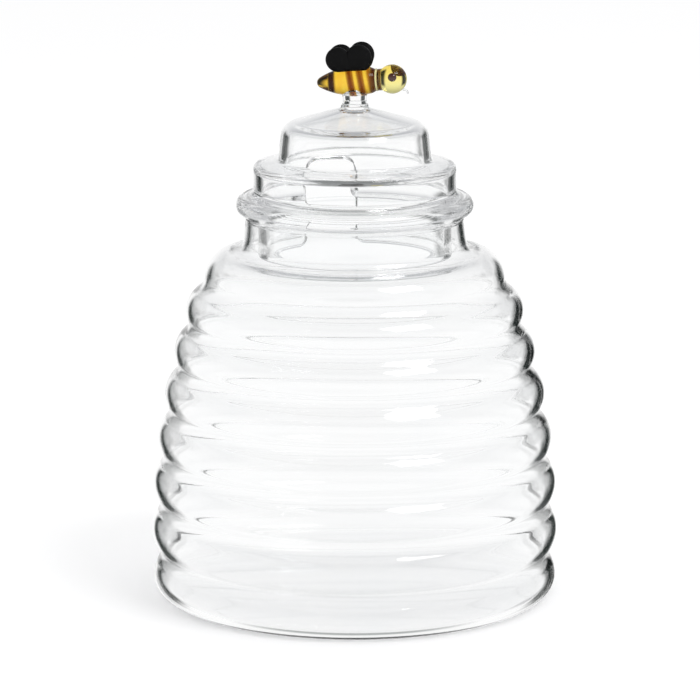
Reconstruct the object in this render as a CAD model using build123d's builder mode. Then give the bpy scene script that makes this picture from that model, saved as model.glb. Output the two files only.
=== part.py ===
from build123d import *
import os
from math import cos, radians, sin

# Glass honey jar in the shape of a straw bee skep.
# Mould-blown jar with stacked rings, a lift-off stepped lid with a notch for the
# honey dipper, and a lampworked bee on a short stem as the lid's handle.
#
# Millimetres, +Z up, origin on the table under the centre of the jar's foot.
# +X is where the bee looks, -Y is the front of the jar, the notch is at the back.

# ---------------------------------------------------------------- driving dimensions

# Jar
body_radius = 57.1          # envelope that the rings touch, where the sides are upright
upright_height = 20.4       # up to here the sides are upright
shoulder_radius = 45.1      # the same envelope at the last groove
envelope_power = 1.93       # how late the sides curve in
jar_wall = 2.0
foot_corner = 4.9           # round between the foot and the lowest ring
foot_inset = 0.4            # the lowest ring stands this far inside the envelope
foot_ring = 3.0             # width of the flat ring that touches the table
punt_height = 2.0           # how far the middle of the base is pushed up
base_thickness = 3.4        # glass in the middle of the base
first_groove = 11.2         # height of the lowest groove
ring_pitch = 13.95          # height of the lowest full ring
pitch_loss = 0.52           # each ring is this much lower than the one below
ring_count = 6              # full rings between the grooves
groove_depth = 3.8
groove_round = 0.7
shoulder_rise = 9.5         # last groove to the root of the neck
shoulder_bulge = 4.5

# Neck
lip_margin = 2.05           # the lip stands this far outside the lid's tier
neck_taper = 1.25           # the neck's root stands this far outside the lip
neck_height = 10.85
neck_root_round = 2.5

# Lid
lid_wall = 2.2
seat_gap = 0.2              # between the lip and the lid's flange
skirt_clearance = 1.4       # radial, between the skirt and the neck
skirt_depth = 13.0          # the skirt below its seat
bead_radius = 2.5           # rolled rim of the flange
bead_overhang = 2.8         # the bead beyond the lip
flange_rise = 7.35          # seat to where the flare leaves the tier
tier_radius = 28.2          # also sets the neck and the lip
tier_wall_rise = 6.45
tier_slope_rise = 1.25
dome_root_radius = 21.3
dome_wall_rise = 9.8
dome_radius = 20.3
cap_rise = 4.5
stem_seat_radius = 4.4      # flat top that carries the stem
crease_round = 1.0
tier_round = 1.4
cap_round = 4.7

# Dipper notch in the lid
notch_width = 15.0
notch_rise = 12.4           # above the seat
notch_corner = 4.0
notch_turn = 16.5           # degrees from straight behind, towards the tail

# Stem
stem_foot_radius = 3.65
stem_foot_height = 0.9
stem_waist_radius = 2.95
stem_top_radius = 3.45
stem_height = 3.6           # cap of the lid to the bee's belly

# Bee, in its own frame: x forward along its body, y up, z to its right
bee_turn = 8.0              # degrees, head towards the front of the jar
bee_pitch = 4.0             # degrees, head up
belly_radius = 4.0
tail_length = 10.5
tail_tip_radius = 1.6
tail_tip_angle = 30.0       # degrees, slope where the tip runs into the back
thorax_length = 3.2
thorax_drop = 0.15
waist_radius = 3.0
waist_place = 5.9
band_width = 1.7
band_pitch = 2.75
band_slant = 14.0           # degrees
band_depth = 0.5
band_proud = 0.12
band_count = 3
first_band = -1.1           # place of the rearmost band along the body
collar_width = 0.6
collar_radius = 3.15
head_radius = 4.05
head_reach = 14.5           # front of the face from the stem's axis
eye_radius = 1.25
eye_sink = 0.6
eye_forward = 8.0           # degrees from straight sideways
eye_up = 14.0               # degrees above the middle of the head
tongue_radius = 0.28
tongue_length = 2.0
tongue_angle = -48.0        # degrees, place on the face where it starts
tongue_droop = -38.0        # degrees, the way it points

# Wings: two flattened drops on each side of the back
wing_thickness = 2.4
wing_edge_round = 0.9
wing_root_offset = 2.35     # sideways from the middle of the back
wing_root_height = 2.9
wing_splay = 9.0            # degrees, the tips lean outwards
wing_root_radius = 1.7
wing_root_rise = 1.9
fore_wing_radius = 3.6
fore_wing_tip = (1.95, 3.95)
fore_wing_root = 3.2        # the root reaches this far along the back
hind_wing_radius = 3.5
hind_wing_tip = (-3.75, 3.6)
hind_wing_root = -3.9
wing_parting = -0.9         # plane where the two drops of one side meet

os.makedirs("parts", exist_ok=True)


def finish(builder, name):
    """Label a finished piece and write its STEP file."""
    builder.part.label = name
    export_step(builder.part, f"parts/{name}.step")


# ---------------------------------------------------------------- jar

groove_heights = [first_groove]
for ring in range(ring_count):
    groove_heights.append(groove_heights[-1] + ring_pitch - ring * pitch_loss)
last_groove = groove_heights[-1]


def envelope(height):
    """Radius of the skep's smooth outer form at a height."""
    share = max(height - upright_height, 0) / (last_groove - upright_height)
    return body_radius - (body_radius - shoulder_radius) * share**envelope_power


grooves = [(envelope(height) - groove_depth, height) for height in groove_heights]
foot_radius = body_radius - foot_inset
flat_outer = foot_radius - foot_corner
flat_inner = flat_outer - foot_ring
lip_radius = tier_radius + lip_margin
neck_root = (lip_radius + neck_taper, last_groove + shoulder_rise)
lip_height = neck_root[1] + neck_height

with BuildPart() as hive_jar:
    with BuildSketch(Plane.XZ) as jar_section:
        # Outside of the glass from the middle of the base up to the lip
        with BuildLine() as jar_outline:
            punt = TangentArc((0, punt_height), (flat_inner, 0), tangent=(1, 0))
            flat = Line(punt @ 1, (flat_outer, 0))
            corner = RadiusArc(flat @ 1, (foot_radius, foot_corner), -foot_corner)
            TangentArc(corner @ 1, grooves[0], tangent=corner % 1)
            for low, high in zip(grooves, grooves[1:]):
                SagittaArc(low, high, -groove_depth)
            SagittaArc(grooves[-1], neck_root, -shoulder_bulge)
            Line(neck_root, (lip_radius, lip_height))
            creases = [v for v in jar_outline.vertices()
                       if any((v - Vertex(*g)).center().length < 0.01 for g in grooves)]
            fillet(creases, groove_round)
            fillet(jar_outline.vertices().sort_by_distance(neck_root)[0], neck_root_round)
            offset(amount=jar_wall, side=Side.LEFT, closed=True)
        make_face()
        fillet(jar_section.vertices().sort_by(Axis.Y)[-2:], 0.47 * jar_wall)
        # The base is thicker in the middle
        with BuildLine():
            under = TangentArc((0, punt_height), (flat_inner, 0), tangent=(1, 0))
            crown = TangentArc((0, punt_height + base_thickness), (flat_inner, jar_wall), tangent=(1, 0))
            Line(under @ 0, crown @ 0)
            Line(under @ 1, crown @ 1)
        make_face()
    revolve(axis=Axis.Z)
finish(hive_jar, "hive_jar")

# ---------------------------------------------------------------- lid

seat_height = lip_height + seat_gap
skirt_radius = lip_radius - jar_wall - skirt_clearance
bead_place = lip_radius + bead_overhang - bead_radius
crease_height = seat_height + flange_rise
tier_edge_height = crease_height + tier_wall_rise
dome_root_height = tier_edge_height + tier_slope_rise
dome_edge_height = dome_root_height + dome_wall_rise
cap_height = dome_edge_height + cap_rise

with BuildPart() as lid:
    with BuildSketch(Plane.XZ) as lid_section:
        # Blown wall: cap, dome, tier and skirt in one run of glass
        with BuildLine():
            FilletPolyline(
                (0, cap_height),
                (stem_seat_radius, cap_height),
                (dome_radius, dome_edge_height),
                (dome_root_radius, dome_root_height),
                (tier_radius, tier_edge_height),
                (tier_radius, seat_height + 2 * bead_radius),
                (skirt_radius, seat_height + bead_radius),
                (skirt_radius, seat_height - skirt_depth),
                radius=[crease_round, cap_round, crease_round, tier_round, crease_round, crease_round])
            offset(amount=lid_wall, side=Side.RIGHT, closed=True)
        make_face()
        fillet(lid_section.vertices().sort_by(Axis.Y)[:2], 0.47 * lid_wall)
        # Flange that rests on the lip, flared out to a rolled bead
        with BuildLine():
            inner_corner = (skirt_radius - lid_wall / 2, seat_height)
            seat = Line(inner_corner, (bead_place, seat_height))
            core = Line(seat @ 1, (bead_place, seat_height + 2 * bead_radius))
            flare = TangentArc(core @ 1, (tier_radius, crease_height), tangent=(-1, 0))
            back = Line(flare @ 1, (inner_corner[0], crease_height))
            Line(back @ 1, seat @ 0)
        make_face()
        with Locations((bead_place, seat_height + bead_radius)):
            Circle(bead_radius)
    revolve(axis=Axis.Z)
    # Arched notch for the dipper's handle, from the skirt's foot to above the flange
    with BuildSketch(Plane.XZ.rotated((0, 0, notch_turn))) as notch:
        with Locations((0, seat_height - 2 * skirt_depth)):
            Rectangle(notch_width, 2 * skirt_depth + notch_rise, align=(Align.CENTER, Align.MIN))
        fillet(notch.vertices().group_by(Axis.Y)[-1], notch_corner)
    extrude(amount=-2 * body_radius, mode=Mode.SUBTRACT)
finish(lid, "lid")

# ---------------------------------------------------------------- bee, body and head

bee_height = cap_height + stem_height + belly_radius
turn, pitch = radians(bee_turn), radians(bee_pitch)
bee_forward = Vector(cos(pitch) * cos(turn), -cos(pitch) * sin(turn), sin(pitch))
bee_right = Vector(-sin(turn), -cos(turn), 0)
bee_side = Plane(origin=(0, 0, bee_height), x_dir=bee_forward, z_dir=bee_right)
bee_axis = Axis((0, 0, bee_height), bee_forward)


def body_profile(grow):
    """Half outline of the bee's body, its surface moved out by grow."""
    slope = radians(tail_tip_angle)
    tip_centre = tail_tip_radius - tail_length
    tip_radius = tail_tip_radius + grow
    with BuildLine() as outline:
        tip = TangentArc((tip_centre - tip_radius, 0),
                         (tip_centre - tip_radius * sin(slope), tip_radius * cos(slope)), tangent=(0, 1))
        back = TangentArc(tip @ 1, (0, belly_radius + grow), tangent=tip % 1)
        thorax = TangentArc(back @ 1, (thorax_length, belly_radius - thorax_drop + grow), tangent=(1, 0))
        waist = TangentArc(thorax @ 1, (waist_place, waist_radius + grow), tangent=thorax % 1)
        front = Line(waist @ 1, (waist_place, 0))
        Line(front @ 1, tip @ 0)
    return outline


with BuildPart() as bee_bands:
    with BuildSketch(bee_side):
        add(body_profile(band_proud))
        make_face()
    revolve(axis=bee_axis)
    with BuildSketch(bee_side):
        add(body_profile(-band_depth))
        make_face()
    revolve(axis=bee_axis, mode=Mode.SUBTRACT)
    with BuildSketch(bee_side):
        with Locations([(first_band + count * band_pitch, 0) for count in range(band_count)]):
            Rectangle(band_width, 4 * belly_radius, rotation=band_slant)
    extrude(amount=2 * belly_radius, both=True, mode=Mode.INTERSECT)
finish(bee_bands, "bee_bands")

with BuildPart() as bee_body:
    with BuildSketch(bee_side):
        add(body_profile(0))
        make_face()
    revolve(axis=bee_axis)
    add(bee_bands.part, mode=Mode.SUBTRACT)
finish(bee_body, "bee_body")

with BuildPart() as bee_collar:
    with BuildSketch(bee_side) as collar_section:
        with Locations((waist_place, 0)):
            Rectangle(collar_width, collar_radius, align=(Align.MIN, Align.MIN))
        fillet(collar_section.vertices().group_by(Axis.Y)[-1], 0.45 * collar_width)
    revolve(axis=bee_axis)
finish(bee_collar, "bee_collar")

head_start = waist_place + collar_width
head_centre = head_reach - head_radius
neck_end = head_centre - (head_radius**2 - waist_radius**2) ** 0.5

with BuildPart() as bee_head:
    with BuildSketch(bee_side):
        with BuildLine():
            nape = Line((head_start, 0), (head_start, waist_radius))
            neck = Line(nape @ 1, (neck_end, waist_radius))
            face = ThreePointArc(neck @ 1, (head_centre, head_radius), (head_reach, 0))
            Line(face @ 1, nape @ 0)
        make_face()
    revolve(axis=bee_axis)
finish(bee_head, "bee_head")

for side_name, side in (("right", 1), ("left", -1)):
    eye_distance = head_radius - eye_sink
    eye_place = bee_side.from_local_coords((
        head_centre + eye_distance * sin(radians(eye_forward)),
        eye_distance * sin(radians(eye_up)),
        side * eye_distance * cos(radians(eye_forward)) * cos(radians(eye_up))))
    with BuildPart() as eye:
        with Locations(eye_place):
            Sphere(eye_radius)
        add(bee_head.part, mode=Mode.SUBTRACT)
    finish(eye, f"bee_eye_{side_name}")

leave, droop = radians(tongue_angle), radians(tongue_droop)
tongue_start = ((head_radius - tongue_radius) * cos(leave) + head_centre,
                (head_radius - tongue_radius) * sin(leave))
tongue_end = (tongue_start[0] + tongue_length * cos(droop), tongue_start[1] + tongue_length * sin(droop))

with BuildPart() as bee_tongue:
    with BuildLine(bee_side) as curl:
        SagittaArc(tongue_start, tongue_end, tongue_length / 6)
    with BuildSketch(Plane(origin=curl.line @ 0, z_dir=curl.line % 0)):
        Circle(tongue_radius)
    sweep()
    add(bee_head.part, mode=Mode.SUBTRACT)
finish(bee_tongue, "bee_tongue")

# ---------------------------------------------------------------- bee, wings

# The wings are cut to the body with its bands on
with BuildPart() as bee_trunk:
    with BuildSketch(bee_side):
        add(body_profile(band_proud))
        make_face()
    revolve(axis=bee_axis)

wing_drops = {
    "fore_wing": (fore_wing_radius, fore_wing_tip, fore_wing_root, Align.MIN),
    "hind_wing": (hind_wing_radius, hind_wing_tip, hind_wing_root, Align.MAX),
}

for side_name, side in (("right", 1), ("left", -1)):
    lean = radians(wing_splay)
    root = bee_side.from_local_coords((0, wing_root_height, side * wing_root_offset))
    bee_up = bee_side.y_dir
    wing_normal = bee_right * cos(lean) - bee_up * (side * sin(lean))
    wing_plane = Plane(origin=root, x_dir=bee_forward, z_dir=wing_normal)
    for wing_name, (radius, tip_place, root_end, keep) in wing_drops.items():
        with BuildPart() as wing:
            with BuildSketch(wing_plane) as drop:
                with Locations(tip_place):
                    Circle(radius)
                with Locations((wing_parting, wing_root_rise), (root_end, wing_root_rise)):
                    Circle(wing_root_radius)
                make_hull()
                with Locations((wing_parting, 0)):
                    Rectangle(4 * radius, 8 * radius, align=(keep, Align.CENTER), mode=Mode.INTERSECT)
            extrude(amount=wing_thickness / 2, both=True)
            fillet(wing.edges().filter_by(lambda e: e.length > wing_thickness * 1.01), wing_edge_round)
            add(bee_trunk.part, mode=Mode.SUBTRACT)
        finish(wing, f"{wing_name}_{side_name}")

# ---------------------------------------------------------------- stem

with BuildPart() as finial_stem:
    with BuildSketch(Plane.XZ):
        with BuildLine():
            foot = Line((0, cap_height), (stem_foot_radius, cap_height))
            edge = ThreePointArc(
                foot @ 1,
                (stem_foot_radius + stem_foot_height / 4, cap_height + stem_foot_height / 2),
                (stem_foot_radius, cap_height + stem_foot_height))
            waist = ThreePointArc(
                edge @ 1,
                (stem_waist_radius, cap_height + stem_height / 2),
                (stem_top_radius, cap_height + stem_height))
            top = Line(waist @ 1, (stem_top_radius, bee_height))
            axis_end = Line(top @ 1, (0, bee_height))
            Line(axis_end @ 1, foot @ 0)
        make_face()
    revolve(axis=Axis.Z)
    add(bee_body.part, mode=Mode.SUBTRACT)
    add(bee_bands.part, mode=Mode.SUBTRACT)
finish(finial_stem, "finial_stem")

print("height to the bee's back", round(bee_height + belly_radius, 2), "lip", round(lip_height, 2))
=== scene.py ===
# %% [markdown]
# # A blown glass honey jar with a lampworked bee
#
# The jar is one mould-blown skin of clear glass in the shape of a straw bee skep. Its lid is a second
# skin, stepped like a little roof, with an arched notch at the back for a honey dipper. On top of the
# lid a short clear stem carries a bee made of amber and black glass.
#
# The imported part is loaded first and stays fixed. Every surface below is worked out in millimetres in
# the part's own frame (+Z up, the bee looks along +X, the front of the jar faces -Y), so a piece needs
# no fitting: it is already where it belongs.

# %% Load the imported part
import math

import bmesh
import bpy
import numpy as np
from mathutils import Matrix


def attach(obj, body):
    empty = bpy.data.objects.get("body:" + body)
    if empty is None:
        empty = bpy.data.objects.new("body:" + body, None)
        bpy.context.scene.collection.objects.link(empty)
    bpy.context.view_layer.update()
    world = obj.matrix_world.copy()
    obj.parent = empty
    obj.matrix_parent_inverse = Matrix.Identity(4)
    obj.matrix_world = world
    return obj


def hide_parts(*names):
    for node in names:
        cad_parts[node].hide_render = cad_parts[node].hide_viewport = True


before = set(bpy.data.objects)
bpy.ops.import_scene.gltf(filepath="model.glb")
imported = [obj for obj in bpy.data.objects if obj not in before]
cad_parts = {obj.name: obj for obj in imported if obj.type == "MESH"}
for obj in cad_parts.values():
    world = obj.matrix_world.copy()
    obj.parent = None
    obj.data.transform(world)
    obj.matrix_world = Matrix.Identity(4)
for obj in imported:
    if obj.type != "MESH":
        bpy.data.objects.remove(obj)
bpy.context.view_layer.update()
mm = 0.001

# %% [markdown]
# ## Camera
#
# A long lens from about a metre away keeps the rings nearly parallel. The camera looks a little down
# on the jar, so that the lid's steps open into ellipses.

# %% Camera
view_elevation = math.radians(12.27)
view_distance = 1.049
aim_height = 0.0687                   # the camera looks at this height on the axis
view_angle = math.radians(10.67)
image_side = 700
axis_shift = 4.7                      # pixels that the jar's axis stands right of the middle

camera_data = bpy.data.cameras.new("camera")
camera_data.angle = view_angle
camera_data.shift_x = -axis_shift / image_side
camera = bpy.data.objects.new("camera", camera_data)
camera.location = (0, -view_distance * math.cos(view_elevation),
                   aim_height + view_distance * math.sin(view_elevation))
camera.rotation_euler = (math.pi / 2 - view_elevation, 0, 0)
bpy.context.scene.collection.objects.link(camera)
bpy.context.scene.camera = camera
print("camera at", [round(c, 3) for c in camera.location], "lens", round(camera_data.lens, 1))

# %% [markdown]
# ## Shader helpers
#
# Materials are built from a few lines each. `add_node` makes a node with its settings and its plain
# values, `calculate` does sums on sockets, `smooth_range` turns a measure into a soft mask, and
# `mix_colour` lays one colour over another.

# %% Nodes and sums


def add_node(tree, kind, settings=None, **inputs):
    """A node of a kind, its settings as attributes and its unlinked inputs by name."""
    node = tree.nodes.new(kind)
    for name, value in (settings or {}).items():
        setattr(node, name, value)
    for name, value in inputs.items():
        node.inputs[name.replace("_", " ")].default_value = value
    return node


def calculate(tree, operation, *values):
    """A Math node. Each value is a number or a socket."""
    node = tree.nodes.new("ShaderNodeMath")
    node.operation = operation
    for socket, value in zip(node.inputs, values):
        if isinstance(value, bpy.types.NodeSocket):
            tree.links.new(value, socket)
        else:
            socket.default_value = value
    return node.outputs[0]


print("helpers for nodes and sums")

# %% Soft masks and mixed colours


def smooth_range(tree, value, low, high, to_low=0.0, to_high=1.0):
    """A value eased from to_low at low to to_high at high, and held beyond them."""
    node = add_node(tree, "ShaderNodeMapRange", {"interpolation_type": "SMOOTHSTEP"})
    for name, number in (("From Min", low), ("From Max", high), ("To Min", to_low), ("To Max", to_high)):
        node.inputs[name].default_value = number
    tree.links.new(value, node.inputs["Value"])
    return node.outputs["Result"]


def mix_colour(tree, factor, first, second):
    """The first colour at factor 0 and the second at factor 1. Each is a colour or a socket."""
    node = add_node(tree, "ShaderNodeMix", {"data_type": "RGBA"})
    tree.links.new(factor, node.inputs["Factor"])
    for socket, value in ((node.inputs[6], first), (node.inputs[7], second)):
        if isinstance(value, bpy.types.NodeSocket):
            tree.links.new(value, socket)
        else:
            socket.default_value = (*value, 1)
    return node.outputs[2]


def new_tree(name):
    """An empty node tree of a new material, and the material."""
    material = bpy.data.materials.new(name)
    material.use_nodes = True
    material.node_tree.nodes.clear()
    return material.node_tree, material


print("helpers for masks, mixes and materials")

# %% [markdown]
# ## Stage
#
# Clear glass has no colour of its own: it shows what stands around it. Lamps in front would give it
# little more than shine, so it is lit from behind: a white panel stands behind the jar, and a dark gap
# on each side of the panel bends into view only near the glass's edges, so it draws them. Overhead and
# underfoot the room is greyer, which shades the lid's slopes and the base. The floor is plain white.
# It lets rays from glass pass on to the panels, and keeps the shadow for the camera.

# %% White room with dark gaps
room = bpy.data.worlds.new("white_room")
room.use_nodes = True
bpy.context.scene.world = room
tree = room.node_tree
tree.nodes.clear()

gap_start, gap_full = math.radians(15), math.radians(23)    # turned off the line of sight
gap_fade, gap_end = math.radians(41), math.radians(48)
gap_turn = math.radians(2.5)            # the gaps stand this far round, so the right edges draw darker
gap_low, gap_high = (-0.60, -0.44), (0.06, 0.24)        # height on the unit sphere where gaps fade
gap_back = (-0.1, 0.5)                  # depth on the unit sphere: only the room behind has gaps
ceiling_span = (-0.10, 0.55)            # heights between which ground turns into ceiling
zenith_span, nadir_span = (0.70, 0.85), (-0.95, -0.75)
gap_colour = (0.02, 0.026, 0.024)
ceiling_colour = (0.50, 0.51, 0.53)
ground_colour = (1.0, 1.0, 1.0)
zenith_colour = (0.22, 0.23, 0.23)
nadir_colour = (0.40, 0.42, 0.41)
ambient_level = 0.80

direction = add_node(tree, "ShaderNodeTexCoord")
sphere = add_node(tree, "ShaderNodeSeparateXYZ")
tree.links.new(direction.outputs["Generated"], sphere.inputs[0])
turned_by = calculate(tree, "ARCTAN2", sphere.outputs["Y"], sphere.outputs["X"])
turned_by = calculate(tree, "ABSOLUTE", calculate(tree, "SUBTRACT", turned_by, gap_turn))
off_sight = calculate(tree, "ABSOLUTE", calculate(tree, "SUBTRACT", turned_by, math.pi / 2))
gap = smooth_range(tree, off_sight, gap_start, gap_full)
for limit in (smooth_range(tree, off_sight, gap_fade, gap_end, 1, 0),
              smooth_range(tree, sphere.outputs["Z"], *gap_low),
              smooth_range(tree, sphere.outputs["Z"], *gap_high, 1, 0),
              smooth_range(tree, sphere.outputs["Y"], *gap_back)):
    gap = calculate(tree, "MULTIPLY", gap, limit)
print("dark gaps from", round(math.degrees(gap_start)), "to", round(math.degrees(gap_end)), "degrees")

# %% Panels, and who sees them
height = sphere.outputs["Z"]
panels = mix_colour(tree, smooth_range(tree, height, *ceiling_span), ground_colour, ceiling_colour)
panels = mix_colour(tree, smooth_range(tree, height, *zenith_span), panels, zenith_colour)
panels = mix_colour(tree, smooth_range(tree, height, *nadir_span, 1, 0), panels, nadir_colour)
seen_by_glass = mix_colour(tree, gap, panels, gap_colour)


def glass_rays(tree, light_path):
    """1 for a ray that has passed through glass or been mirrored by it, otherwise 0."""
    return calculate(tree, "MAXIMUM", light_path.outputs["Is Transmission Ray"],
                     light_path.outputs["Is Glossy Ray"])


room_path = add_node(tree, "ShaderNodeLightPath")
lighting = mix_colour(tree, glass_rays(tree, room_path), (ambient_level,) * 3, seen_by_glass)
shown = mix_colour(tree, room_path.outputs["Is Camera Ray"], lighting, (1, 1, 1))
background = add_node(tree, "ShaderNodeBackground")
room_output = add_node(tree, "ShaderNodeOutputWorld")
tree.links.new(shown, background.inputs["Color"])
tree.links.new(background.outputs[0], room_output.inputs["Surface"])
print("white room, white to the camera")

# %% Floor
floor_radius = 6.0
floor_colour = (0.94, 0.94, 0.945)
floor_glow = 0.20                      # only the camera sees it

tree, floor_material = new_tree("white_floor")
matt = add_node(tree, "ShaderNodeBsdfDiffuse", Color=(*floor_colour, 1))
glow = add_node(tree, "ShaderNodeEmission")
floor_path = add_node(tree, "ShaderNodeLightPath")
camera_glow = calculate(tree, "MULTIPLY", floor_path.outputs["Is Camera Ray"], floor_glow)
tree.links.new(camera_glow, glow.inputs["Strength"])
lit = add_node(tree, "ShaderNodeAddShader")
tree.links.new(matt.outputs[0], lit.inputs[0])
tree.links.new(glow.outputs[0], lit.inputs[1])
clear = add_node(tree, "ShaderNodeBsdfTransparent")
lit_or_clear = add_node(tree, "ShaderNodeMixShader")
tree.links.new(glass_rays(tree, floor_path), lit_or_clear.inputs[0])
tree.links.new(lit.outputs[0], lit_or_clear.inputs[1])
tree.links.new(clear.outputs[0], lit_or_clear.inputs[2])
floor_output = add_node(tree, "ShaderNodeOutputMaterial")
tree.links.new(lit_or_clear.outputs[0], floor_output.inputs["Surface"])

floor_mesh = bpy.data.meshes.new("floor")
corners = [(-floor_radius, -floor_radius, 0), (floor_radius, -floor_radius, 0),
           (floor_radius, floor_radius, 0), (-floor_radius, floor_radius, 0)]
floor_mesh.from_pydata(corners, [], [(0, 1, 2, 3)])
floor_mesh.materials.append(floor_material)
floor = bpy.data.objects.new("floor", floor_mesh)
bpy.context.scene.collection.objects.link(floor)
print("floor", 2 * floor_radius, "m wide")

# %% [markdown]
# ## Lamp and light paths
#
# The room alone would leave the glass without a sparkle. A softbox, a large soft lamp to the right of
# the camera, puts one small window of light on each ring and casts the faint shadow. A ray through an
# empty jar crosses up to eight skins of glass, and each is met twice, so light paths are made long
# enough to reach the room again.

# %% Softbox
softbox_size = (0.55, 0.40)
softbox_distance = 1.3
softbox_azimuth = math.radians(48)     # to the right of the camera
softbox_elevation = math.radians(52)
softbox_power = 5.0

softbox_data = bpy.data.lights.new("softbox", "AREA")
softbox_data.shape = "RECTANGLE"
softbox_data.size, softbox_data.size_y = softbox_size
softbox_data.energy = softbox_power
softbox = bpy.data.objects.new("softbox", softbox_data)
softbox.visible_camera = False
softbox_reach = softbox_distance * math.cos(softbox_elevation)
softbox.location = (softbox_reach * math.sin(softbox_azimuth),
                    -softbox_reach * math.cos(softbox_azimuth),
                    aim_height + softbox_distance * math.sin(softbox_elevation))
softbox.rotation_euler = (math.pi / 2 - softbox_elevation, 0, softbox_azimuth)
bpy.context.scene.collection.objects.link(softbox)
print("softbox at", [round(c, 2) for c in softbox.location])

# %% Bounces
glass_bounces = 24
bpy.context.scene.cycles.max_bounces = glass_bounces
bpy.context.scene.cycles.transmission_bounces = glass_bounces
bpy.context.scene.cycles.glossy_bounces = glass_bounces
bpy.context.scene.cycles.transparent_max_bounces = glass_bounces
bpy.context.scene.view_settings.view_transform = "Standard"
print("light paths of up to", glass_bounces, "bounces")

# %% [markdown]
# ## From a drawn outline to a mesh
#
# Both glass skins are turned forms: an outline in the plane of radius and height, carried round the
# axis. An outline is a list of runs, straight or arched, and each corner between two runs is rounded
# with a conic whose ends are tangent to both. All points are worked out as whole arrays.

# %% Straight and arched runs


def straight(start, end, count=2):
    """Points evenly spread on the line from start to end."""
    share = np.linspace(0, 1, count)[:, None]
    return (1 - share) * np.array(start, float) + share * np.array(end, float)


def arched(start, end, rise, count=15):
    """Points on the circle through start and end whose middle stands rise to the right of the chord:
    radius = (half chord squared + rise squared) / (2 rise)."""
    start, end = np.array(start, float), np.array(end, float)
    half = np.linalg.norm(end - start) / 2
    along = (end - start) / (2 * half)
    across = np.array([along[1], -along[0]]) * np.sign(rise)
    radius = (half**2 + rise**2) / (2 * abs(rise))
    widest = math.asin(min(1.0, half / radius))
    angle = np.linspace(-widest, widest, count)[:, None]
    middle = (start + end) / 2 - across * (radius - abs(rise))
    return middle + radius * (np.sin(angle) * along + np.cos(angle) * across)


print("an arch that rises 1 over a chord of 2 has its middle at", arched((0, 0), (0, 2), 1)[7].round(3))

# %% Rounded corners


def cut_back(run, amount):
    """The run with a length taken off its end. The new end lies on the old line."""
    steps = np.linalg.norm(np.diff(run, axis=0), axis=1)
    place = np.concatenate([[0], np.cumsum(steps)])
    keep = place[-1] - amount
    inside = run[place < keep - 1e-9]
    tip = np.array([np.interp(keep, place, run[:, axis]) for axis in (0, 1)])
    return np.vstack([inside, tip])


def rounded(runs, cuts, count=7):
    """One outline from several runs. At each corner both runs lose the cut, and a conic joins them:
    (1-t)^2 A + 2 w t (1-t) C + t^2 B over (1-t)^2 + 2 w t (1-t) + t^2, where C is where the two
    tangents cross and w the cosine of half the turn, which makes it a circle on straight runs."""
    runs = [np.array(run, float) for run in runs]
    pieces = []
    for index, cut in enumerate(cuts):
        if cut <= 0:
            pieces.append(runs[index][:-1])
            continue
        runs[index] = cut_back(runs[index], cut)
        runs[index + 1] = cut_back(runs[index + 1][::-1], cut)[::-1]
        a, b = runs[index][-1], runs[index + 1][0]
        going = a - runs[index][-2]
        leaving = runs[index + 1][1] - b
        going, leaving = going / np.linalg.norm(going), leaving / np.linalg.norm(leaving)
        reach = np.linalg.solve(np.array([going, leaving]).T, b - a)[0]
        crossing = a + going * reach
        weight = math.cos(math.acos(np.clip(going @ leaving, -1, 1)) / 2)
        t = np.linspace(0, 1, count)[:, None]
        below = (1 - t) ** 2 + 2 * weight * t * (1 - t) + t**2
        conic = ((1 - t) ** 2 * a + 2 * weight * t * (1 - t) * crossing + t**2 * b) / below
        pieces += [runs[index][:-1], conic[:-1]]
    return np.vstack([*pieces, runs[-1]])


round_corner = rounded([straight((0, 0), (1, 0)), straight((1, 0), (1, 1))], [0.5])
print("two straight runs and their rounded corner have", len(round_corner), "points")

# %% A wall beside an outline


def moved_in(outline, amount):
    """Every point moved to the left of the outline's direction by the amount, square to it."""
    ahead = np.gradient(outline, axis=0)
    ahead /= np.linalg.norm(ahead, axis=1)[:, None]
    return outline + amount * np.column_stack([-ahead[:, 1], ahead[:, 0]])


def smoothed(outline, reach):
    """The outline averaged along its own length with weights exp(-(distance / reach)^2), ends kept."""
    steps = np.linalg.norm(np.diff(outline, axis=0), axis=1)
    place = np.concatenate([[0], np.cumsum(steps)])
    share = (np.concatenate([[0], steps]) + np.concatenate([steps, [0]])) / 2
    near_end = np.minimum(place, place[-1] - place)
    span = np.clip(near_end / 2, 0.05, reach)[:, None]
    weight = np.exp(-((place[:, None] - place[None, :]) / span) ** 2) * share
    return weight @ outline / weight.sum(axis=1, keepdims=True)


print("helpers for straight, arched, rounded, shifted and softened outlines")

# %% [markdown]
# ## From points to a closed skin
#
# A grid of points becomes quads by numbering: each quad takes a point, its neighbour, and the same two
# in the next row. Spin and Screw would do this for a round form, but the lid's rows stop at its notch
# and the bee is turned about a leaning axis, so one numbering for any grid is simpler. Points that
# meet, at poles and seams, are merged, and each piece prints its open edges and its volume: no open
# edge means a closed skin, and a volume above nought means that its faces point outwards.

# %% Numbering of quads


def grid_faces(rows, columns, closed):
    """Corner numbers of the quads between neighbouring rows and columns of a grid. When closed, the
    last column joins the first."""
    row = np.arange(rows - 1)[:, None]
    column = np.arange(columns if closed else columns - 1)[None, :]
    after = (column + 1) % columns
    quads = np.stack([row * columns + column, row * columns + after,
                      (row + 1) * columns + after, (row + 1) * columns + column], axis=-1)
    return quads.reshape(-1, 4)


def turned(outline, columns):
    """A grid from an outline of (radius, height) carried round the vertical axis: x is the radius
    times the angle's cosine and y the radius times its sine."""
    angle = np.linspace(0, 2 * np.pi, columns, endpoint=False)
    radius, height = outline[:, :1], outline[:, 1:]
    return np.stack([radius * np.cos(angle), radius * np.sin(angle), height + 0 * angle], axis=-1)


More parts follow.
